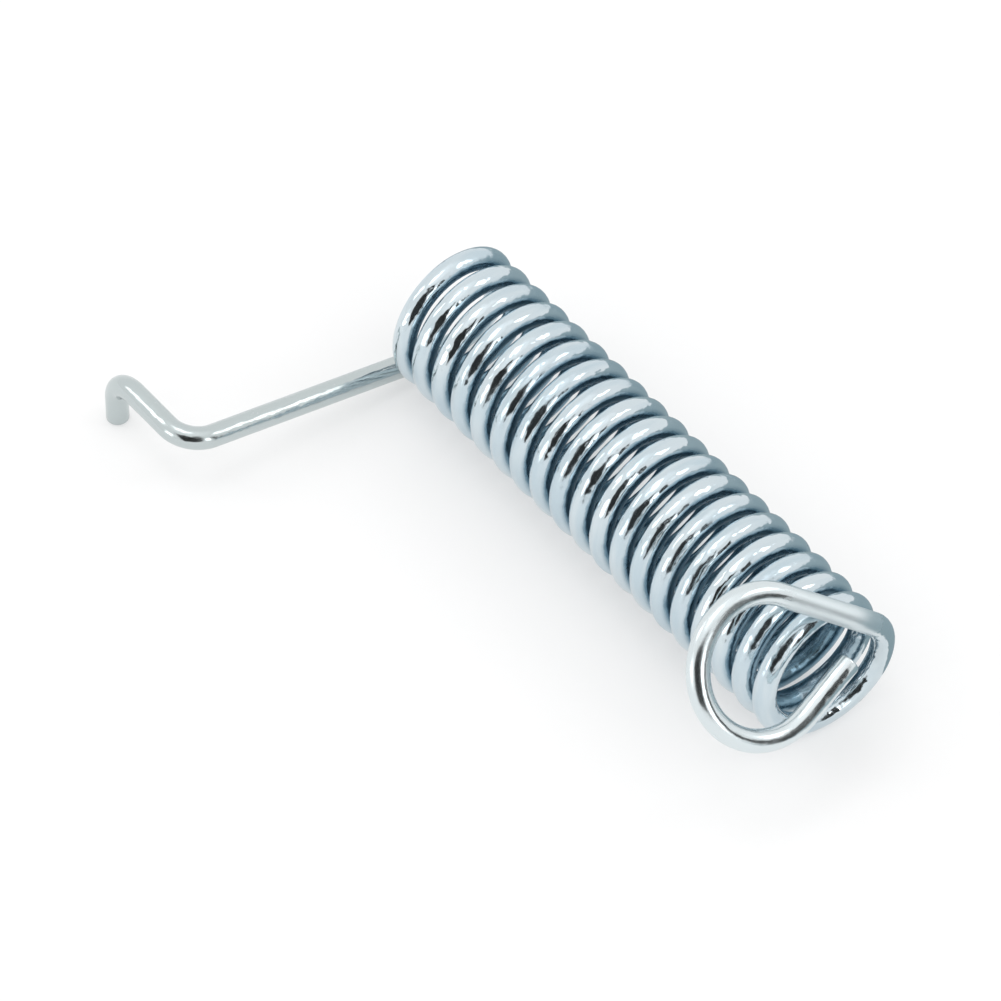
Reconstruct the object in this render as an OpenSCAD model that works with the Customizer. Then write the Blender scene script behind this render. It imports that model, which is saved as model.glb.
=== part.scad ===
// Extension spring of round wire with a bent leg at one end and an open hook at the other.
// The wire is followed from the tip of its leg, which stands on the ground at the origin.
// From there it rises, bends over to the foot and the long leg, winds right-handed along +X
// and leaves the last turn for the hook. Every stretch starts where the one before it ended.

/* [Wire] */
// Diameter of the wire
wire_d = 3; // [2.6:0.1:3.4]
// Break on the edge of each cropped end
end_break = 0.2; // [0.1:0.05:0.5]

/* [Coil] */
// Outside diameter of the coil
coil_od = 20; // [18.5:0.5:21.5]
// Advance of the coil in one turn, so turns stand a little apart
pitch = 4; // [3.8:0.1:4.8]
// Whole turns before the quarter turn that runs on into the hook
turns = 19; // [8:1:24]
// Angle that the last turn adds to that quarter
end_angle = 50; // [40:5:60]

/* [Leg] */
// Straight length of the leg, from the coil to its first bend
leg_len = 34; // [30:0.5:40]
// Slope of the leg, up from the underside of the coil
leg_rise = 10; // [9.5:0.5:12]
// Straight length of the foot, between the two bends
foot_len = 6.9; // [5:0.1:10]
// Centre-line radius of the two bends
bend_r = 4.2; // [3.6:0.1:4.4]

/* [Hook] */
// Straight run out of the last turn
rise_len = 4; // [3.5:0.1:5]
// Centre-line radius of the corner
corner_r = 4; // [3.5:0.1:5]
// Angle of the corner
corner_angle = 30.5; // [28:0.5:33]
// Direction of the corner, about the wire
corner_turn_angle = -66.5; // [-70:0.5:-63]
// Straight band between the corner and the loop
band_len = 10.2; // [9.5:0.1:12]
// Centre-line radius of the loop
loop_r = 9; // [8.6:0.1:10]
// Angle of the loop
loop_angle = 243; // [236:1:248]
// Direction of the loop, about the wire
loop_turn_angle = 93; // [90:0.5:97]
// Straight tail past the loop
tail_len = 8.8; // [7:0.1:10]

/* [Hidden] */
zinc = [0.74, 0.79, 0.82];
arc_fn = 96;
wire_fn = 40;
// A joint between two stretches stands proud by this hair's breadth, which fuses them soundly
joint_rise = 0.01;

// The helix is wound as quarter turns. Each is a flat arc whose ends lie on the helix, and
// the wire twists a little between one plane and the next, so it runs on without a kink.
mean_r = (coil_od - wire_d) / 2;
quarters = 4 * turns + 1;
quarter_rise = pitch / 4;
chord = sqrt(pow(quarter_rise, 2) + 2 * pow(mean_r, 2));
arc_roll = 2 * asin(quarter_rise * sin(45) / chord);
arc_angle = 2 * acos(cos(45) / cos(arc_roll / 2));
arc_r = chord / (2 * sin(arc_angle / 2));
lead_angle = asin(cos(arc_angle / 2) * sin(arc_roll / 2) / sin(45));

// Height of the coil's axis, with its underside on the ground
axis_height = mean_r * cos(45) + arc_r * (1 - cos(arc_angle / 2)) + wire_d / 2;
// Turn of the wire between the two bends, which slopes the leg
leg_turn_angle = 90 - leg_rise;
// Angle of the second bend, which lays the coil's axis along the foot
leg_bend_angle = 90 - lead_angle;
// Drop of the foot's centre line to the start of the coil, down the sloping leg
leg_drop = sin(leg_rise) * (bend_r * (1 - sin(lead_angle)) + leg_len * cos(lead_angle));
// Straight length of the tip, so that its end stands on the ground
tip_len = axis_height - mean_r * cos(leg_rise) + leg_drop - bend_r;

// Joint at the start of a stretch, which fuses it with the one before
module joint() {
    sphere(d = wire_d + 2 * joint_rise, $fn = wire_fn);
}

// Straight wire up the local Z axis; what follows starts at its end
module run(length) {
    joint();
    cylinder(d = wire_d, h = length, $fn = wire_fn);
    translate([0, 0, length])
        children();
}

// Bent wire that leaves along local Z and curves towards local X, after a turn about Z
module bend(radius, angle, turn = 0) {
    rotate([0, 0, turn]) {
        joint();
        translate([radius, 0, 0])
            rotate([90, 0, 180])
                rotate_extrude(angle = angle, $fn = arc_fn)
                    translate([radius, 0])
                        circle(d = wire_d, $fn = wire_fn);
        translate([radius, 0, 0])
            rotate([0, angle, 0])
                translate([-radius, 0, 0])
                    children();
    }
}

// First stretch, up from a cropped end with its edge broken
module first_run(length) {
    cylinder(d1 = wire_d - 2 * end_break, d2 = wire_d, h = end_break, $fn = wire_fn);
    translate([0, 0, end_break])
        cylinder(d = wire_d, h = length - end_break, $fn = wire_fn);
    translate([0, 0, length])
        children();
}

// Last stretch, up to a cropped end with its edge broken
module last_run(length) {
    run(length - end_break)
        cylinder(d1 = wire_d, d2 = wire_d - 2 * end_break, h = end_break, $fn = wire_fn);
}

// Steps from the wire's heading to the coil's own axis, which runs along local X
module from_wire_to_axis() {
    rotate([0, 0, 90])
        rotate([0, -lead_angle, 0])
            translate([0, -mean_r, 0])
                children();
}

// Steps from the coil's axis to the wire's heading after a number of quarter turns
module at_quarter(count) {
    translate([count * quarter_rise, 0, 0])
        rotate([count * 90, 0, 0])
            translate([0, mean_r, 0])
                rotate([0, lead_angle, 0])
                    rotate([0, 0, -90])
                        children();
}

// Right-hand coil; what follows starts where the last turn lets go
module coil() {
    from_wire_to_axis() {
        for (count = [0 : quarters - 1])
            at_quarter(count)
                bend(arc_r, arc_angle, arc_roll / 2);
        at_quarter(quarters)
            bend(arc_r, end_angle, arc_roll / 2)
                children();
    }
}

// Leg from its tip on the ground over two bends; what follows starts at the coil
module leg() {
    first_run(tip_len)
        bend(bend_r, 90)
            run(foot_len)
                bend(bend_r, leg_bend_angle, leg_turn_angle)
                    run(leg_len)
                        rotate([0, 0, 90])
                            children();
}

// Open hook: a corner, a straight band, the loop across the coil's end and a straight tail
module hook() {
    run(rise_len)
        bend(corner_r, corner_angle, corner_turn_angle)
            run(band_len)
                bend(loop_r, loop_angle, loop_turn_angle)
                    last_run(tail_len);
}

// The whole spring is one wire
module spring() {
    color(zinc)
        leg()
            coil()
                hook();
}

spring();
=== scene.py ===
"""Zinc plated extension spring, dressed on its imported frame.

The spring is one formed wire. Its skin is swept along the same path as the solid: up from the tip of the
leg, over two bends, round the coil and out into the open hook. Lengths are in metres and angles in radians
unless a name says otherwise.
"""

from __future__ import annotations

import logging
import math
from dataclasses import dataclass, field, replace
from enum import Enum
from itertools import islice
from typing import Any

import bmesh
import bpy
from mathutils import Matrix, Vector

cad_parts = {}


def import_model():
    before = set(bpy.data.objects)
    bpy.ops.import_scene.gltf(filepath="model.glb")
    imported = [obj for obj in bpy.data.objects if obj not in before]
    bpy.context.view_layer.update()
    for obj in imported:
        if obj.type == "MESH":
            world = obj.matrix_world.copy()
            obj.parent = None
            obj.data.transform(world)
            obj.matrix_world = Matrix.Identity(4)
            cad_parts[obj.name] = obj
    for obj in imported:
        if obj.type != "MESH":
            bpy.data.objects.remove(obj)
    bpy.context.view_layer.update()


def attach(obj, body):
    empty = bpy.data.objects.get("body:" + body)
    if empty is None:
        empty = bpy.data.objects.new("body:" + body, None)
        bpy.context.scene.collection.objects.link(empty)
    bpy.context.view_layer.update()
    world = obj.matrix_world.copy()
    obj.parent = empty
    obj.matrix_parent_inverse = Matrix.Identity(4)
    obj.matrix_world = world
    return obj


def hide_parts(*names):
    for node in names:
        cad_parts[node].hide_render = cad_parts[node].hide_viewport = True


LOG = logging.getLogger("spring")
MM = 0.001

Colour = tuple[float, float, float, float]
Span = tuple[float, float]


class Axis(Enum):
    """The local directions of the wire's travelling frame."""

    INWARD = 0
    SIDE = 1
    HEADING = 2


class Ray(Enum):
    """Kinds of ray, each under its name on the Light Path node."""

    CAMERA = "Is Camera Ray"
    GLOSSY = "Is Glossy Ray"
    TRANSMISSION = "Is Transmission Ray"


@dataclass(frozen=True)
class View:
    """Where the camera stands and what it takes in.

    Attributes:
        azimuth: Degrees round from the -Y side towards +X.
        elevation: Degrees above the ground.
        distance: From the camera to the point it aims at.
        aim: The point at the middle of the picture.
        pixels_per_mm: Scale of the picture at the aim point.
        picture_px: Width and height of the picture.
        sensor_mm: Width of the sensor.
        sight: How far the camera sees.
    """

    azimuth: float = 52.09
    elevation: float = 49.41
    distance: float = 1.0
    aim: tuple[float, float, float] = (48.71 * MM, 23.63 * MM, 11.65 * MM)
    pixels_per_mm: float = 8.069
    picture_px: float = 1001.0
    sensor_mm: float = 36.0
    sight: float = 20.0

    def place(self) -> None:
        """Makes the camera and hands it to the scene."""
        data = bpy.data.cameras.new("bench_camera")
        data.sensor_width = self.sensor_mm
        data.lens = self.pixels_per_mm * self.distance / MM / self.picture_px * self.sensor_mm
        data.clip_end = self.sight
        camera = bpy.data.objects.new("bench_camera", data)
        bpy.context.scene.collection.objects.link(camera)
        toward = direction(self.azimuth, self.elevation)
        camera.location = Vector(self.aim) + toward * self.distance
        camera.rotation_euler = toward.to_track_quat("Z", "Y").to_euler()
        bpy.context.scene.camera = camera


def direction(azimuth: float, elevation: float) -> Vector:
    """Gives the way out from the spring to a place round it.

    Args:
        azimuth: Degrees round from the -Y side towards +X.
        elevation: Degrees above the ground.

    Returns:
        A unit vector.
    """
    around, up = math.radians(azimuth), math.radians(elevation)
    return Vector((math.sin(around) * math.cos(up), -math.cos(around) * math.cos(up), math.sin(up)))


class Value:
    """A number socket that takes part in Python arithmetic, one Math node for each operation."""

    def __init__(self, graph: Graph, socket: bpy.types.NodeSocket) -> None:
        """Keeps a node's output socket and the tree that it belongs to."""
        self.graph = graph
        self.socket = socket

    def _math(self, operation: str, *terms: Value | float, clamp: bool = False) -> Value:
        """Adds one Math node, fed with the terms in order, and gives its output."""
        settings = {"operation": operation, "use_clamp": clamp}
        return self.graph.node("ShaderNodeMath", settings, list(terms))["Value"]

    def __add__(self, other: Value | float) -> Value:
        """Adds."""
        return self._math("ADD", self, other)

    def __radd__(self, other: float) -> Value:
        """Adds, with the number first."""
        return self._math("ADD", other, self)

    def __sub__(self, other: Value | float) -> Value:
        """Subtracts."""
        return self._math("SUBTRACT", self, other)

    def __rsub__(self, other: float) -> Value:
        """Subtracts from a number."""
        return self._math("SUBTRACT", other, self)

    def __mul__(self, other: Value | float) -> Value:
        """Multiplies."""
        return self._math("MULTIPLY", self, other)

    def __rmul__(self, other: float) -> Value:
        """Multiplies, with the number first."""
        return self._math("MULTIPLY", other, self)

    def held(self) -> Value:
        """Holds the value between 0 and 1."""
        return self._math("ADD", self, 0.0, clamp=True)

    def band(self, low: float, high: float) -> Value:
        """Fades from 0 to 1 between two values.

        Args:
            low: Where the fade starts.
            high: Where it ends.

        Returns:
            The fade, smoothed at both ends.
        """
        settings = {"interpolation_type": "SMOOTHSTEP"}
        inputs = {"Value": self, "From Min": low, "From Max": high}
        return self.graph.node("ShaderNodeMapRange", settings, inputs)["Result"]


class Graph:
    """A material's or the world's node tree."""

    # Places of the colour sockets on the Mix node, whose names are shared by its other sockets
    MIX_FACTOR = 0
    MIX_FIRST = 6
    MIX_SECOND = 7
    MIX_RESULT = 2

    def __init__(self, owner: bpy.types.Material | bpy.types.World) -> None:
        """Empties the owner's node tree.

        Args:
            owner: A material or a world.
        """
        owner.use_nodes = True
        self.tree = owner.node_tree
        self.tree.nodes.clear()

    def node(
        self,
        kind: str,
        settings: dict[str, Any] | None = None,
        inputs: dict[str | int, Any] | list[Any] | None = None,
    ) -> Outputs:
        """Adds a node, sets it and feeds it.

        Args:
            kind: The node's type.
            settings: Its properties, which are set before its sockets.
            inputs: A number, a colour, a Value or an output socket for each socket that is fed, as a
                list in the sockets' order or under their names or places.

        Returns:
            The node's outputs by name.
        """
        made = self.tree.nodes.new(kind)
        for name, value in (settings or {}).items():
            setattr(made, name, value)
        pairs = enumerate(inputs) if isinstance(inputs, list) else (inputs or {}).items()
        for key, value in pairs:
            if isinstance(value, Value):
                self.tree.links.new(value.socket, made.inputs[key])
            elif isinstance(value, bpy.types.NodeSocket):
                self.tree.links.new(value, made.inputs[key])
            else:
                made.inputs[key].default_value = value
        return Outputs(self, made)

    def ray(self, kind: Ray) -> Value:
        """Gives 1 on one kind of ray and 0 on the others."""
        return self.node("ShaderNodeLightPath")[kind.value]

    def seen(self) -> Value:
        """Gives 1 where the camera sees the surface, straight, in metal or through glass."""
        return (self.ray(Ray.CAMERA) + self.ray(Ray.GLOSSY) + self.ray(Ray.TRANSMISSION)).held()

    def mixed(
        self,
        factor: Value,
        low: Colour | bpy.types.NodeSocket,
        high: Colour | bpy.types.NodeSocket,
    ) -> bpy.types.NodeSocket:
        """Mixes two colours, where a factor of 0 gives the first and 1 the second."""
        inputs = {self.MIX_FACTOR: factor, self.MIX_FIRST: low, self.MIX_SECOND: high}
        return self.node("ShaderNodeMix", {"data_type": "RGBA"}, inputs).socket(self.MIX_RESULT)


class Outputs:
    """The outputs of one node."""

    def __init__(self, graph: Graph, made: bpy.types.Node) -> None:
        """Keeps the node and the tree that it belongs to."""
        self.graph = graph
        self.made = made

    def __getitem__(self, name: str) -> Value:
        """Gives a number output."""
        return Value(self.graph, self.made.outputs[name])

    def socket(self, key: str | int) -> bpy.types.NodeSocket:
        """Gives a colour, vector or shader output, by its name or place."""
        return self.made.outputs[key]


@dataclass(frozen=True)
class Grain:
    """A noise on the wire's own coordinates.

    Attributes:
        stretch: How fast it changes in a millimetre along the wire, and in the two directions across it.
        detail: How many finer layers it has.
    """

    # What the noise swings about
    MIDDLE = 0.5

    stretch: tuple[float, float, float]
    detail: float

    def lay(self, graph: Graph, place: bpy.types.NodeSocket) -> Value:
        """Adds the noise to a material.

        Args:
            graph: The material's tree.
            place: The wire's own coordinates, in millimetres.

        Returns:
            The noise.
        """
        spread = graph.node("ShaderNodeMapping", None, {"Vector": place, "Scale": self.stretch})
        inputs = {"Vector": spread.socket("Vector"), "Scale": 1.0, "Detail": self.detail}
        return graph.node("ShaderNodeTexNoise", None, inputs)["Fac"]


@dataclass(frozen=True)
class BrightZinc:
    """Bright zinc plating with a thin blue passivation, over drawn wire.

    A span is a pair of values, of a noise or of the length of wire, between which something fades in.

    Attributes:
        pale: Colour of the plating.
        blue: Colour where the passivation lies thicker.
        recess_shade: Painted shade inside the coil, between the turns, where the neighbouring turns shut
            the wire in.
        leg_grey: Colour of the leg, which has no blue in it.
        hook_pale: Colour of the hook, where the zinc lies thickest.
        coil_start: Span of wire, in millimetres from the tip, over which the leg's colour ends.
        hook_start: Span of wire, likewise, over which the hook's colour begins.
        streaks: Die marks along the wire.
        patches: Broad patches of thicker passivation.
        waves: Shallow waves that the winding leaves.
        specks: Small dull specks.
        dents: Small dents from the barrel that the springs are plated in.
        blue_span: Span of the patches over which the blue fades in.
        dull_span: Span of the patches over which they grow dull.
        streak_span: Span of the streaks over which they grow dull.
        speck_span: Span of the specks' noise over which a speck fades in.
        recess_shade_span: Span of the recess over which the painted shade, and the roughness that goes
            with it, fade in.
        polish: Roughness of the plating at its brightest.
        patch_haze: Roughness that a dull patch adds.
        streak_haze: Roughness that a dull streak adds.
        speck_haze: Roughness that a speck adds.
        recess_haze: Roughness that the recess between the turns adds.
        full_haze: Roughness that the skin's haze adds at most.
        drawing_depth: Depth of the die marks.
        wave_depth: Depth of the waves.
        dent_depth: Depth of the dents.
        smooth_haze: Haze of the skin at which waves and dents are shallowest.
        smooth_share: Share of their depth that is left there.
    """

    pale: Colour = (0.64, 0.72, 0.76, 1.0)
    blue: Colour = (0.55, 0.655, 0.715, 1.0)
    recess_shade: Colour = (0.20, 0.32, 0.40, 1.0)
    leg_grey: Colour = (0.54, 0.595, 0.60, 1.0)
    hook_pale: Colour = (0.70, 0.765, 0.785, 1.0)
    coil_start: Span = (52.0, 70.0)
    hook_start: Span = (1085.0, 1105.0)
    streaks: Grain = Grain((0.3, 2.2, 2.2), detail=3.0)
    patches: Grain = Grain((0.10, 0.5, 0.5), detail=2.0)
    waves: Grain = Grain((0.30, 0.55, 0.55), detail=1.0)
    specks: Grain = Grain((1.6, 1.6, 1.6), detail=2.0)
    dents: Grain = Grain((0.7, 0.9, 0.9), detail=1.0)
    blue_span: Span = (0.35, 0.7)
    dull_span: Span = (0.3, 0.75)
    streak_span: Span = (0.4, 0.7)
    speck_span: Span = (0.66, 0.78)
    recess_shade_span: Span = (0.3, 0.62)
    polish: float = 0.09
    patch_haze: float = 0.09
    streak_haze: float = 0.05
    speck_haze: float = 0.08
    recess_haze: float = 0.14
    full_haze: float = 0.3
    drawing_depth: float = 0.018 * MM
    wave_depth: float = 0.11 * MM
    dent_depth: float = 0.13 * MM
    smooth_haze: float = 0.2
    smooth_share: float = 0.2

    def material(self) -> bpy.types.Material:
        """Makes the plating's material.

        The noises run on the wire's own coordinates, its length and the place round it, so
        that streaks follow the wire through every turn.

        Returns:
            The material.
        """
        material = bpy.data.materials.new("bright_zinc")
        graph = Graph(material)
        place = graph.node("ShaderNodeAttribute", {"attribute_name": Stretch.PLACE}).socket("Vector")
        recess = graph.node("ShaderNodeAttribute", {"attribute_name": Stretch.RECESS})["Fac"]
        haze = graph.node("ShaderNodeAttribute", {"attribute_name": Stretch.HAZE})["Fac"]
        streaks = self.streaks.lay(graph, place)
        patches = self.patches.lay(graph, place)
        # Painted shade between the turns, where the neighbouring turns shut the wire in; the same mask
        # also roughens the plating there
        recess_shade_mask = recess.band(*self.recess_shade_span)
        height = self._height(graph, place, streaks, haze)
        bump = graph.node("ShaderNodeBump", None, {"Strength": 1.0, "Distance": MM, "Height": height})
        sound = self._roughness(graph, place, streaks, patches)
        inputs = {
            "Base Color": self._colour(graph, place, patches, recess_shade_mask),
            "Metallic": 1.0,
            "Roughness": sound + self.recess_haze * recess_shade_mask + self.full_haze * haze,
            "Normal": bump.socket("Normal"),
        }
        shader = graph.node("ShaderNodeBsdfPrincipled", None, inputs)
        graph.node("ShaderNodeOutputMaterial", None, {"Surface": shader.socket("BSDF")})
        return material

    def _colour(
        self, graph: Graph, place: bpy.types.NodeSocket, patches: Value, recess_shade_mask: Value
    ) -> bpy.types.NodeSocket:
        """Works out the colour.

        Args:
            graph: The material's tree.
            place: The wire's own coordinates, in millimetres.
            patches: The noise of the passivation.
            recess_shade_mask: How much painted shade the wire gets between the turns.

        Returns:
            The colour socket.
        """
        along = graph.node("ShaderNodeSeparateXYZ", None, {"Vector": place})["X"]
        outer = graph.mixed(patches.band(*self.blue_span), self.pale, self.blue)
        outer = graph.mixed(along.band(*self.coil_start), self.leg_grey, outer)
        outer = graph.mixed(along.band(*self.hook_start), outer, self.hook_pale)
        # Paints shade over the plating's own colour between the turns
        return graph.mixed(recess_shade_mask, outer, self.recess_shade)

    def _roughness(
        self, graph: Graph, place: bpy.types.NodeSocket, streaks: Value, patches: Value
    ) -> Value:
        """Works out the roughness of sound plating.

        Args:
            graph: The material's tree.
            place: The wire's own coordinates, in millimetres.
            streaks: The noise of the die marks.
            patches: The noise of the passivation.

        Returns:
            The roughness.
        """
        specks = self.specks.lay(graph, place).band(*self.speck_span)
        worn = self.patch_haze * patches.band(*self.dull_span)
        worn = worn + self.streak_haze * streaks.band(*self.streak_span) + self.speck_haze * specks
        return self.polish + worn

    def _height(self, graph: Graph, place: bpy.types.NodeSocket, streaks: Value, haze: Value) -> Value:
        """Works out the fine relief.

        Args:
            graph: The material's tree.
            place: The wire's own coordinates, in millimetres.
            streaks: The noise of the die marks.
            haze: The haze of the skin.

        Returns:
            The height, in millimetres.
        """
        waves = (self.waves.lay(graph, place) - Grain.MIDDLE) * (self.wave_depth / MM)
        dents = (self.dents.lay(graph, place) - Grain.MIDDLE) * (self.dent_depth / MM)
        unhazed = (1.0 - 1.0 / self.smooth_haze * haze).held()
        share = self.smooth_share + (1.0 - self.smooth_share) * unhazed
        return (streaks - Grain.MIDDLE) * (self.drawing_depth / MM) + share * (waves + dents)


class Stretch:
    """A stretch of the skin in a mesh of its own, with the layers that the plating reads."""

    PLACE = "wire_place"
    RECESS = "recess"
    HAZE = "haze"

    def __init__(self) -> None:
        """Makes the empty mesh and its layers."""
        self.mesh = bmesh.new()
        layers = self.mesh.verts.layers
        self.place = layers.float_vector.new(self.PLACE)
        self.recess = layers.float.new(self.RECESS)
        self.haze = layers.float.new(self.HAZE)

    def mark(
        self, vert: bmesh.types.BMVert, place: tuple[float, float, float], recess: float, haze: float
    ) -> None:
        """Writes a vertex's layers.

        Args:
            vert: The vertex.
            place: The wire's own coordinates, in millimetres.
            recess: How far the neighbouring turns shut it in.
            haze: How much haze the plating has.
        """
        vert[self.place] = place
        vert[self.recess] = recess
        vert[self.haze] = haze


@dataclass
class Skin:
    """The wire's skin, a tube that is pushed along its path ring by ring.

    Attributes:
        radius: Radius of the wire.
        sides: Faces round the wire.
        frame: Place and directions of the ring that was made last.
        along: Length of wire up to that ring.
        rolled: How far the frame has turned about the wire since the start.
        sheltered: How far neighbouring turns shut in the inward side of what is swept next.
        haze: How much haze the plating has on what is swept next.
        stretches: The stretches so far, each in a mesh of its own.
        ring: Edges of the ring that was made last.
    """

    # Rings on the rounded edge of a cropped end
    EDGE_RINGS = 4
    # Where two stretches meet, vertices nearer than this become one
    WELD = 0.001 * MM
    # The line that is shut in most lies this far round from the inward side
    SHELTER_LEAN = math.radians(20.0)

    radius: float
    sides: int = 36
    frame: Matrix = field(default_factory=Matrix)
    along: float = 0.0
    rolled: float = 0.0
    sheltered: float = 0.0
    haze: float = 0.0
    stretches: list[Stretch] = field(default_factory=list)
    ring: list[bmesh.types.BMEdge] = field(default_factory=list)

    @property
    def mesh(self) -> bmesh.types.BMesh:
        """The mesh of the stretch that is being swept."""
        return self.stretches[-1].mesh

    def _way(self, axis: Axis) -> Vector:
        """Gives one of the frame's directions."""
        return self.frame.to_3x3().col[axis.value].copy()

    def _verts(self) -> list[bmesh.types.BMVert]:
        """Gives the last ring's vertices, each once."""
        return list({vert: None for edge in self.ring for vert in edge.verts})

    def _mark(self, vert: bmesh.types.BMVert, travelled: float, inward: float, side: float) -> None:
        """Writes what the plating reads on a vertex.

        Args:
            vert: The vertex.
            travelled: Length of wire up to it.
            inward: How far it lies from the centre line towards the frame's inward side.
            side: How far it lies from the centre line towards the frame's other side.
        """
        around = math.atan2(side, inward)
        turned = around + self.rolled
        reach = math.hypot(inward, side) / MM
        place = (travelled / MM, reach * math.cos(turned), reach * math.sin(turned))
        # How far the neighbouring turns shut the vertex in, which the plating turns into painted shade
        recess = self.sheltered * (0.5 + 0.5 * math.cos(around - self.SHELTER_LEAN))
        self.stretches[-1].mark(vert, place, recess, self.haze)

    def _mark_ring(self) -> None:
        """Marks the last ring."""
        back = self.frame.inverted()
        for vert in self._verts():
            local = back @ vert.co
            self._mark(vert, self.along, local.x, local.y)

    def _start_stretch(self, radius: float, capped: bool = False) -> None:
        """Starts a stretch in a mesh of its own, which joins the others in the end.

        Each operator looks over its whole mesh, so short stretches keep the sweep quick.

        Args:
            radius: Radius of the first ring.
            capped: Whether a face closes the ring.
        """
        self.stretches.append(Stretch())
        place = self.frame @ Matrix.Rotation(-self.rolled, 4, "Z")
        bmesh.ops.create_circle(
            self.mesh, cap_ends=capped, segments=self.sides, radius=radius, matrix=place
        )
        self.ring = list(self.mesh.edges)
        self._mark_ring()

    def open_end(self, break_radius: float) -> None:
        """Starts the wire with a cropped end, whose edge is rounded."""
        self._start_stretch(self.radius - break_radius, capped=True)
        self._round_off(break_radius, outward=True)

    def close_end(self, break_radius: float) -> None:
        """Ends the wire with a cropped end, whose edge is rounded."""
        self._round_off(break_radius, outward=False)
        bmesh.ops.edgeloop_fill(self.mesh, edges=self.ring)

    def _round_off(self, break_radius: float, outward: bool) -> None:
        """Adds the rings of a rounded edge.

        Args:
            break_radius: Radius of the rounded edge.
            outward: Whether the wire swells from its end face, or closes down to it.
        """
        size = self.radius - break_radius if outward else self.radius
        travelled = 0.0
        for step in range(1, self.EDGE_RINGS + 1):
            turn = step / self.EDGE_RINGS * math.pi / 2
            lead, reach = math.sin(turn), math.cos(turn)
            if outward:
                lead, reach = 1 - reach, lead
            wanted = self.radius - break_radius + break_radius * reach
            self._push(break_radius * lead - travelled)
            travelled = break_radius * lead
            scale = (wanted / size, wanted / size, 1.0)
            bmesh.ops.scale(self.mesh, vec=scale, space=self.frame.inverted(), verts=self._verts())
            size = wanted
            self._mark_ring()

    def _push(self, length: float) -> None:
        """Extrudes the last ring along the heading.

        Args:
            length: How far.
        """
        made = bmesh.ops.extrude_edge_only(self.mesh, edges=self.ring)["geom"]
        fresh = {item for item in made if isinstance(item, bmesh.types.BMVert)}
        edges = (item for item in made if isinstance(item, bmesh.types.BMEdge))
        self.ring = [edge for edge in edges if all(vert in fresh for vert in edge.verts)]
        step = self._way(Axis.HEADING) * length
        bmesh.ops.translate(self.mesh, vec=step, verts=list(fresh))
        self.frame = Matrix.Translation(step) @ self.frame
        self.along += length

    def straight(self, length: float, rings: int) -> None:
        """Runs on straight.

        Args:
            length: Length of the run.
            rings: Rings on it.
        """
        for _ in range(rings):
            self._push(length / rings)
            self._mark_ring()

    def roll(self, angle: float) -> None:
        """Turns the frame about the wire, which the wire itself doesn't show."""
        self.frame = self.frame @ Matrix.Rotation(angle, 4, "Z")
        self.rolled += angle

    def bend(self, radius: float, angle: float, rings: int) -> None:
        """Runs on round a bend, towards the frame's inward side.

        Args:
            radius: Centre-line radius.
            angle: Angle of the bend.
            rings: Rings on it.
        """
        self._start_stretch(self.radius)
        centre = self.frame @ Vector((radius, 0.0, 0.0))
        axis = self._way(Axis.SIDE)
        back = self.frame.inverted()
        before = len(self.mesh.verts)
        swept = bmesh.ops.spin(
            self.mesh,
            geom=self.ring,
            cent=centre,
            axis=axis,
            angle=angle,
            steps=rings,
            use_duplicate=False,
        )
        self.ring = [item for item in swept["geom_last"] if isinstance(item, bmesh.types.BMEdge)]
        for vert in islice(self.mesh.verts, before, None):
            local = back @ vert.co
            turned = math.atan2(local.z, radius - local.x) % math.tau
            inward = radius - math.hypot(local.z, radius - local.x)
            self._mark(vert, self.along + radius * turned, inward, local.y)
        turn = Matrix.Translation(centre) @ Matrix.Rotation(angle, 4, axis) @ Matrix.Translation(-centre)
        self.frame = turn @ self.frame
        self.along += radius * angle

    def finish(self, name: str, material: bpy.types.Material) -> bpy.types.Object:
        """Turns the skin into an object.

        Args:
            name: Name of the piece.
            material: Its finish.

        Returns:
            The object, at the origin.
        """
        data = bpy.data.meshes.new(name)
        whole = bmesh.new()
        for stretch in self.stretches:
            stretch.mesh.to_mesh(data)
            stretch.mesh.free()
            whole.from_mesh(data)
        bmesh.ops.remove_doubles(whole, verts=list(whole.verts), dist=self.WELD)
        bmesh.ops.recalc_face_normals(whole, faces=list(whole.faces))
        for face in whole.faces:
            # All but the two cropped faces are four-sided
            face.smooth = len(face.verts) == 4
        whole.to_mesh(data)
        whole.free()
        data.materials.append(material)
        piece = bpy.data.objects.new(name, data)
        bpy.context.scene.collection.objects.link(piece)
        return piece


@dataclass(frozen=True)
class Straight:
    """A straight run of the wire.

    Attributes:
        length: Its length.
        rings: Rings on its skin.
        haze: How much haze the plating has on it.
    """

    length: float
    rings: int
    haze: float

    def sweep(self, skin: Skin) -> None:
        """Runs the skin along it."""
        skin.haze = self.haze
        skin.straight(self.length, self.rings)


@dataclass(frozen=True)
class Bend:
    """A bend in the wire.

    Attributes:
        radius: Centre-line radius.
        degrees: Angle of the bend.
        turn: Direction of the bend about the wire, in degrees.
        haze: How much haze the plating has on it.
    """

    # Spacing of the skin's rings
    DEGREES_PER_RING = 5.0

    radius: float
    degrees: float
    turn: float
    haze: float

    def sweep(self, skin: Skin) -> None:
        """Runs the skin round it.

        Args:
            skin: The wire, which stands at its start.
        """
        skin.roll(math.radians(self.turn))
        skin.haze = self.haze
        rings = math.ceil(self.degrees / self.DEGREES_PER_RING)
        skin.bend(self.radius, math.radians(self.degrees), rings)


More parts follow.
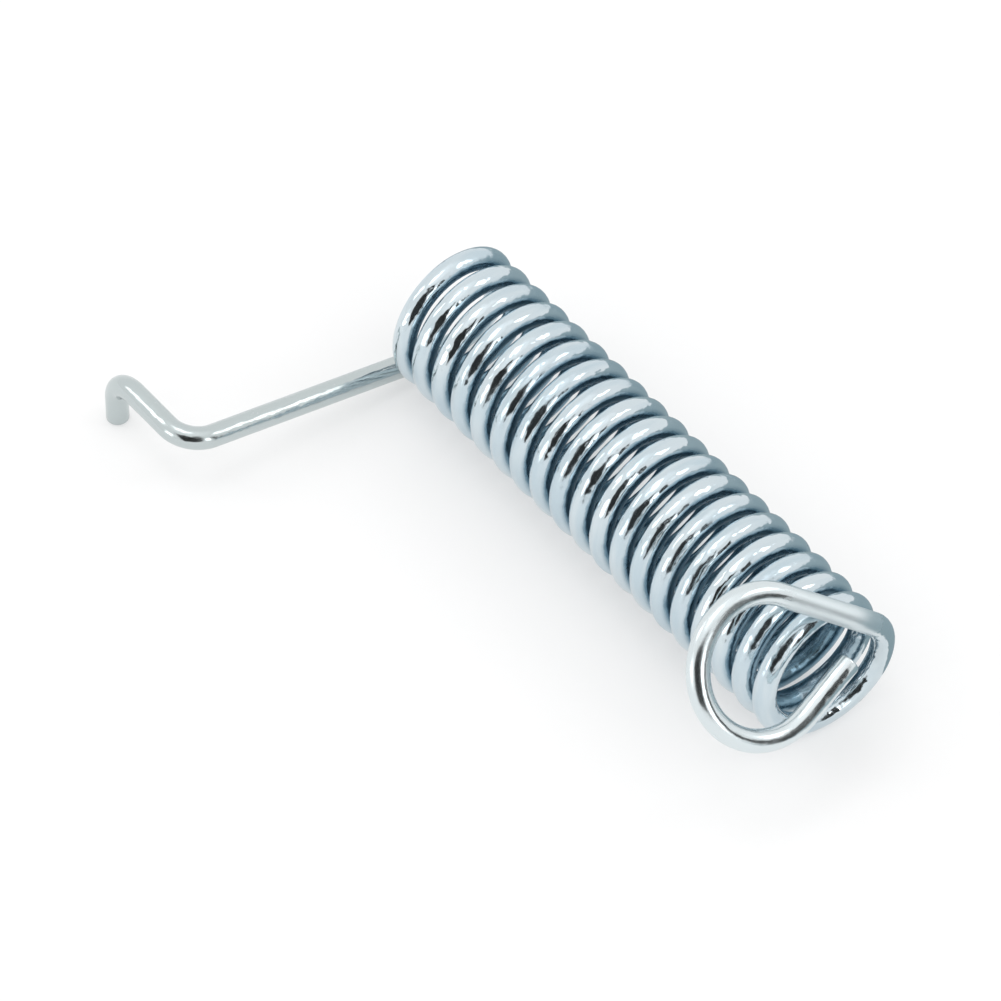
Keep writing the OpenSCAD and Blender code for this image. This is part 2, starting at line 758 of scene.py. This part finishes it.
@dataclass
class Coil:
    """The right-hand coil, wound as quarter turns whose ends lie on the helix.

    Attributes:
        wire: Diameter of the wire.
        outside: Outside diameter.
        pitch: Advance in one turn.
        turns: Whole turns before the quarter that runs on into the hook.
        end_degrees: What the last turn adds to that quarter.
        closing: Quarters over which the second turn comes to shut in the first.
        opening: Quarters over which the last turns come out into the open.
        exposed: Quarters at the end with nothing beside them.
        mean: Radius of the wire's centre line.
        arc: Angle of the flat arc that stands for a quarter turn.
        arc_radius: Its radius.
        arc_roll: Twist between one arc's plane and the next one's.
        lead: Slope of the wire where two arcs meet.
    """

    # Spacing of the skin's rings
    DEGREES_PER_RING = 6.0

    wire: float
    outside: float = 20 * MM
    pitch: float = 4 * MM
    turns: int = 19
    end_degrees: float = 50.0
    closing: int = 2
    opening: int = 4
    exposed: int = 3
    mean: float = field(init=False)
    arc: float = field(init=False)
    arc_radius: float = field(init=False)
    arc_roll: float = field(init=False)
    lead: float = field(init=False)

    def __post_init__(self) -> None:
        """Works out the flat arc."""
        half = math.pi / 4
        self.mean = (self.outside - self.wire) / 2
        rise = self.pitch / 4
        chord = math.hypot(rise, 2 * self.mean * math.sin(half))
        self.arc_roll = 2 * math.asin(rise * math.sin(half) / chord)
        self.arc = 2 * math.acos(math.cos(half) / math.cos(self.arc_roll / 2))
        self.arc_radius = chord / (2 * math.sin(self.arc / 2))
        self.lead = math.asin(math.cos(self.arc / 2) * math.sin(self.arc_roll / 2) / math.sin(half))

    @property
    def axis_height(self) -> float:
        """Height of the coil's axis when it lies on the ground."""
        bulge = self.arc_radius * (1 - math.cos(self.arc / 2))
        return self.mean * math.cos(math.pi / 4) + bulge + self.wire / 2

    @property
    def quarters(self) -> int:
        """How many whole quarter turns it has."""
        return 4 * self.turns + 1

    def _shelter(self, quarter: int) -> float:
        """Gives how far its neighbours shut in a quarter: 0 in the open and 1 between two turns."""
        beside = max(0, self.quarters - quarter - self.exposed)
        return min(1.0, (quarter + 1) / self.closing, beside / self.opening)

    def sweep(self, skin: Skin) -> None:
        """Winds the coil.

        Args:
            skin: The wire, which stands at the start of the first turn.
        """
        rings = round(90.0 / self.DEGREES_PER_RING)
        end_rings = round(self.end_degrees / self.DEGREES_PER_RING)
        for quarter in range(self.quarters):
            skin.sheltered = self._shelter(quarter)
            skin.roll(self.arc_roll / 2)
            skin.bend(self.arc_radius, self.arc, rings)
            skin.roll(self.arc_roll / 2)
        skin.roll(self.arc_roll / 2)
        skin.bend(self.arc_radius, math.radians(self.end_degrees), end_rings)
        skin.sheltered = 0.0


@dataclass
class Leg:
    """The leg: a tip that stands on the ground, a foot, and the long straight to the coil.

    Attributes:
        coil: The coil that it leads to.
        length: Length of the long straight.
        rise: Slope of the leg, in degrees.
        foot: Straight length between the two bends.
        bend_radius: Centre-line radius of both bends.
        haze: How much haze the plating has on it.
    """

    coil: Coil
    length: float = 34 * MM
    rise: float = 10.0
    foot: float = 6.9 * MM
    bend_radius: float = 4.2 * MM
    haze: float = 0.12

    @property
    def tip(self) -> float:
        """Straight length of the tip that lets its end stand on the ground."""
        slope = math.radians(self.rise)
        lead = self.coil.lead
        drop = math.sin(slope) * (self.bend_radius * (1 - math.sin(lead)) + self.length * math.cos(lead))
        return self.coil.axis_height - self.coil.mean * math.cos(slope) + drop - self.bend_radius

    def sweep(self, skin: Skin, end_break: float) -> None:
        """Runs from the tip to the coil.

        Args:
            skin: The wire, at the origin and facing up.
            end_break: Radius on the cropped end's edge.
        """
        last_bend = 90.0 - math.degrees(self.coil.lead)
        skin.open_end(end_break)
        for part in (
            Straight(self.tip - end_break, rings=4, haze=self.haze),
            Bend(self.bend_radius, 90.0, turn=0.0, haze=self.haze),
            Straight(self.foot, rings=4, haze=self.haze),
            Bend(self.bend_radius, last_bend, turn=90.0 - self.rise, haze=self.haze),
            Straight(self.length, rings=16, haze=self.haze),
        ):
            part.sweep(skin)
        skin.haze = 0.0
        skin.roll(math.pi / 2)


@dataclass
class Hook:
    """The open hook: a corner, a straight band, the loop across the coil's end, and a tail.

    Attributes:
        run_out: Straight out of the last turn.
        corner: Corner on to the band.
        band: Straight between the corner and the loop.
        loop: The loop.
        tail: Straight after the loop, up to the cropped end.
    """

    run_out: Straight = Straight(4 * MM, rings=3, haze=0.6)
    corner: Bend = Bend(4 * MM, 30.5, turn=-66.5, haze=1.0)
    band: Straight = Straight(10.2 * MM, rings=5, haze=0.9)
    loop: Bend = Bend(9 * MM, 243.0, turn=93.0, haze=0.3)
    tail: Straight = Straight(8.8 * MM, rings=5, haze=0.15)

    def sweep(self, skin: Skin, end_break: float) -> None:
        """Runs from the last turn to the cropped end.

        Args:
            skin: The wire, at the end of the coil.
            end_break: Radius on the cropped end's edge.
        """
        tail = replace(self.tail, length=self.tail.length - end_break)
        for part in (self.run_out, self.corner, self.band, self.loop, tail):
            part.sweep(skin)
        skin.close_end(end_break)


@dataclass
class Spring:
    """The whole spring, one length of wire.

    Attributes:
        node: Name of the solid that the skin stands for.
        wire: Diameter of the wire.
        end_break: Radius on the edge of each cropped end.
    """

    node: str = "spring"
    wire: float = 3 * MM
    end_break: float = 0.3 * MM

    def build(self) -> bpy.types.Object:
        """Sweeps the wire from its tip to its tail.

        Returns:
            The finished piece.
        """
        coil = Coil(wire=self.wire)
        skin = Skin(radius=self.wire / 2)
        Leg(coil=coil).sweep(skin, self.end_break)
        coil.sweep(skin)
        Hook().sweep(skin, self.end_break)
        LOG.info("wire length %.1f mm, last ring at %s", skin.along / MM, skin.frame.translation)
        return skin.finish("zinc_wire_spring", BrightZinc().material())


def stand(middle: Vector, azimuth: float, elevation: float, away: float, lean: float = 0.0) -> Matrix:
    """Works out where something stands that faces a point.

    Args:
        middle: The point.
        azimuth: Degrees round from the -Y side towards +X.
        elevation: Degrees above the ground.
        away: Distance from the point.
        lean: Degrees that its head leans over to the left, seen from behind it.

    Returns:
        Its placement.
    """
    toward = direction(azimuth, elevation)
    facing = toward.to_track_quat("Z", "Y").to_matrix().to_4x4()
    leaning = Matrix.Rotation(math.radians(lean), 4, "Z")
    return Matrix.Translation(middle + toward * away) @ facing @ leaning


def lay_sheet(
    name: str, width: float, height: float, place: Matrix, material: bpy.types.Material
) -> bpy.types.Object:
    """Makes a flat stage sheet with its place in its mesh.

    Args:
        name: Name of the sheet.
        width: Along its own X.
        height: Along its own Y.
        place: Its placement.
        material: Its material.

    Returns:
        The object.
    """
    mesh = bmesh.new()
    bmesh.ops.create_grid(mesh, x_segments=1, y_segments=1, size=0.5)
    bmesh.ops.scale(mesh, vec=(width, height, 1.0), verts=list(mesh.verts))
    bmesh.ops.transform(mesh, matrix=place, verts=list(mesh.verts))
    data = bpy.data.meshes.new(name)
    mesh.to_mesh(data)
    mesh.free()
    data.materials.append(material)
    sheet = bpy.data.objects.new(name, data)
    bpy.context.scene.collection.objects.link(sheet)
    return sheet


@dataclass(frozen=True)
class Tear:
    """Patches that let light through a card, and grow towards its head.

    Attributes:
        scale: How fine the patches are.
        detail: How many finer layers they have.
        growth: How fast they grow with height.
        height: Height at which they have their own size.
        span: Values of the noise between which a patch fades in.
        light: Colour of a patch.
    """

    scale: float = 7.0
    detail: float = 2.0
    growth: float = 1.3
    height: float = 0.54
    span: Span = (0.58, 0.63)
    light: Colour = (0.8, 0.8, 0.8, 1.0)

    def over(self, graph: Graph, shade: Colour) -> bpy.types.NodeSocket:
        """Lays the patches over a card's own colour.

        Args:
            graph: The card's material.
            shade: The card's own colour.

        Returns:
            The colour socket.
        """
        place = graph.node("ShaderNodeTexCoord").socket("Object")
        inputs = {"Vector": place, "Scale": self.scale, "Detail": self.detail}
        patches = graph.node("ShaderNodeTexNoise", None, inputs)["Fac"]
        up = graph.node("ShaderNodeSeparateXYZ", None, {"Vector": place})["Z"]
        grown = patches + self.growth * (up - self.height)
        return graph.mixed(grown.band(*self.span), shade, self.light)


@dataclass(frozen=True)
class Card:
    """A flat card that the metal shows and the camera doesn't.

    Attributes:
        name: Its name.
        width: Width of the card.
        height: Height of the card.
        shade: Its colour.
        tear: Patches of light in it.
    """

    # Kinds of ray that pass it by, so that only reflections meet it
    UNSEEN_BY = ("camera", "diffuse", "transmission", "shadow")

    name: str
    width: float
    height: float
    shade: Colour = (0.012, 0.012, 0.012, 1.0)
    tear: Tear | None = None

    def put(self, place: Matrix) -> None:
        """Stands the card in the studio.

        Args:
            place: Its placement.
        """
        material = bpy.data.materials.new(self.name)
        graph = Graph(material)
        colour = self.tear.over(graph, self.shade) if self.tear else self.shade
        shader = graph.node("ShaderNodeBsdfPrincipled", None, {"Base Color": colour, "Roughness": 1.0})
        graph.node("ShaderNodeOutputMaterial", None, {"Surface": shader.socket("BSDF")})
        card = lay_sheet(self.name, self.width, self.height, place, material)
        for ray in self.UNSEEN_BY:
            setattr(card, "visible_" + ray, False)


@dataclass(frozen=True)
class Lamp:
    """A soft lamp that faces the spring.

    Attributes:
        name: Its name.
        azimuth: Degrees round from the -Y side towards +X.
        elevation: Degrees above the ground.
        width: Width of its face.
        height: Height of its face.
        away: Distance from the spring.
        radiance: Brightness of its face, where the white surround is 1.
    """

    name: str
    azimuth: float
    elevation: float
    width: float
    height: float
    away: float = 0.6
    radiance: float = 1.7

    def hang(self, middle: Vector) -> None:
        """Hangs the lamp in the studio.

        Args:
            middle: The point that it faces.
        """
        data = bpy.data.lights.new(self.name, "AREA")
        data.shape = "RECTANGLE"
        data.size = self.width
        data.size_y = self.height
        data.energy = self.radiance * math.pi * self.width * self.height
        lamp = bpy.data.objects.new(self.name, data)
        bpy.context.scene.collection.objects.link(lamp)
        lamp.matrix_world = stand(middle, self.azimuth, self.elevation, self.away)


@dataclass
class Studio:
    """White surround and floor, soft lamps, and cards that give the metal something to show.

    Attributes:
        middle: The point that lamps and cards face.
        light: How strongly the surround lights the spring, where the camera sees it as 1.
        zenith: Heights on the surround between which its brighter top fades in.
        zenith_gain: How much brighter the metal shows that top.
        floor_width: Width of the square floor.
        floor_drop: Gap that keeps the floor clear of the spring.
        floor_shade: Colour of the floor.
        floor_roughness: Roughness of the floor.
        lift: How far the picture lightens the shadow on the floor.
    """

    WHITE = (1.0, 1.0, 1.0, 1.0)

    middle: Vector
    light: float = 0.97
    zenith: Span = (0.78, 1.0)
    zenith_gain: float = 0.2
    floor_width: float = 3.0
    floor_drop: float = 0.02 * MM
    floor_shade: Colour = (0.96, 0.96, 0.96, 1.0)
    floor_roughness: float = 0.9
    lift: float = 0.4

    def world(self) -> None:
        """Lights the spring evenly from all round, and shows white to the camera and in the metal."""
        world = bpy.data.worlds.new("white_surround")
        bpy.context.scene.world = world
        graph = Graph(world)
        way = graph.node("ShaderNodeTexCoord").socket("Generated")
        top = graph.node("ShaderNodeSeparateXYZ", None, {"Vector": way})["Z"].band(*self.zenith)
        white = self.light + (1.0 - self.light) * graph.seen()
        strength = white + self.zenith_gain * graph.ray(Ray.GLOSSY) * top
        sky = graph.node("ShaderNodeBackground", None, {"Color": self.WHITE, "Strength": strength})
        graph.node("ShaderNodeOutputWorld", None, {"Surface": sky.socket("Background")})

    def floor(self) -> None:
        """Lays the pale floor, a little of it glowing so that the shadow stays light."""
        material = bpy.data.materials.new("white_floor")
        graph = Graph(material)
        inputs = {"Base Color": self.floor_shade, "Roughness": self.floor_roughness}
        pale = graph.node("ShaderNodeBsdfPrincipled", None, inputs).socket("BSDF")
        inputs = {"Color": self.WHITE, "Strength": 1.0}
        glow = graph.node("ShaderNodeEmission", None, inputs).socket("Emission")
        surface = graph.node("ShaderNodeMixShader", None, [graph.seen() * self.lift, pale, glow])
        graph.node("ShaderNodeOutputMaterial", None, {"Surface": surface.socket("Shader")})
        place = Matrix.Translation((0.0, 0.0, -self.floor_drop))
        lay_sheet("studio_floor", self.floor_width, self.floor_width, place, material)

    def cards(self) -> None:
        """Puts up the cards.

        The large dark one gives the black patches on the turns, the small one the stripe on
        the hook, and the tinted sheet on the floor behind the spring, painted shade that stands in
        for the floor's shadow there, the teal between the turns.
        """
        large = Card("camera_side_card", width=0.60, height=0.64, tear=Tear())
        large.put(stand(self.middle, azimuth=46.0, elevation=32.5, away=0.6, lean=11.0))
        small = Card("hook_side_card", width=30.0 * MM, height=118.0 * MM)
        beside_hook = Vector((178.41, 63.73, 59.65)) * MM
        small.put(stand(beside_hook, azimuth=112.0, elevation=0.0, away=0.0))
        # Painted shade: a teal-grey sheet on the floor behind the spring, where the floor lies in shadow,
        # that only the metal shows
        shade_sheet = Card("back_shadow_card", width=0.76, height=0.62, shade=(0.31, 0.39, 0.42, 1.0))
        shade_sheet.put(Matrix.Translation((0.34, 0.36, -0.01 * MM)))

    def lamps(self) -> None:
        """Hangs the lamps, each where the wire shows one."""
        for lamp in (
            Lamp("low_side_lamp", azimuth=-9.0, elevation=15.0, width=0.22, height=0.22),
            Lamp("left_lamp", azimuth=-52.0, elevation=38.0, width=0.14, height=0.20),
            Lamp("end_lamp", azimuth=94.0, elevation=21.0, width=0.17, height=0.30),
            Lamp("far_side_lamp", azimuth=147.0, elevation=41.0, width=0.19, height=0.20),
            Lamp(
                "top_lamp", azimuth=-60.0, elevation=80.0, width=0.24, height=0.24, away=0.7, radiance=1.6
            ),
        ):
            lamp.hang(self.middle)

    def build(self) -> None:
        """Sets up the whole studio."""
        self.world()
        self.floor()
        self.cards()
        self.lamps()


def main() -> None:
    """Builds the stage, the camera and the spring."""
    logging.basicConfig(level=logging.INFO, format="%(name)s: %(message)s")
    bpy.context.scene.view_settings.view_transform = "Standard"
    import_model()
    View().place()
    Studio(middle=Vector(View.aim)).build()
    spring = Spring()
    piece = spring.build()
    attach(piece, "root")
    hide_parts(spring.node)
    LOG.info("%s: %d faces", piece.name, len(piece.data.polygons))


if __name__ == "__main__":
    main()
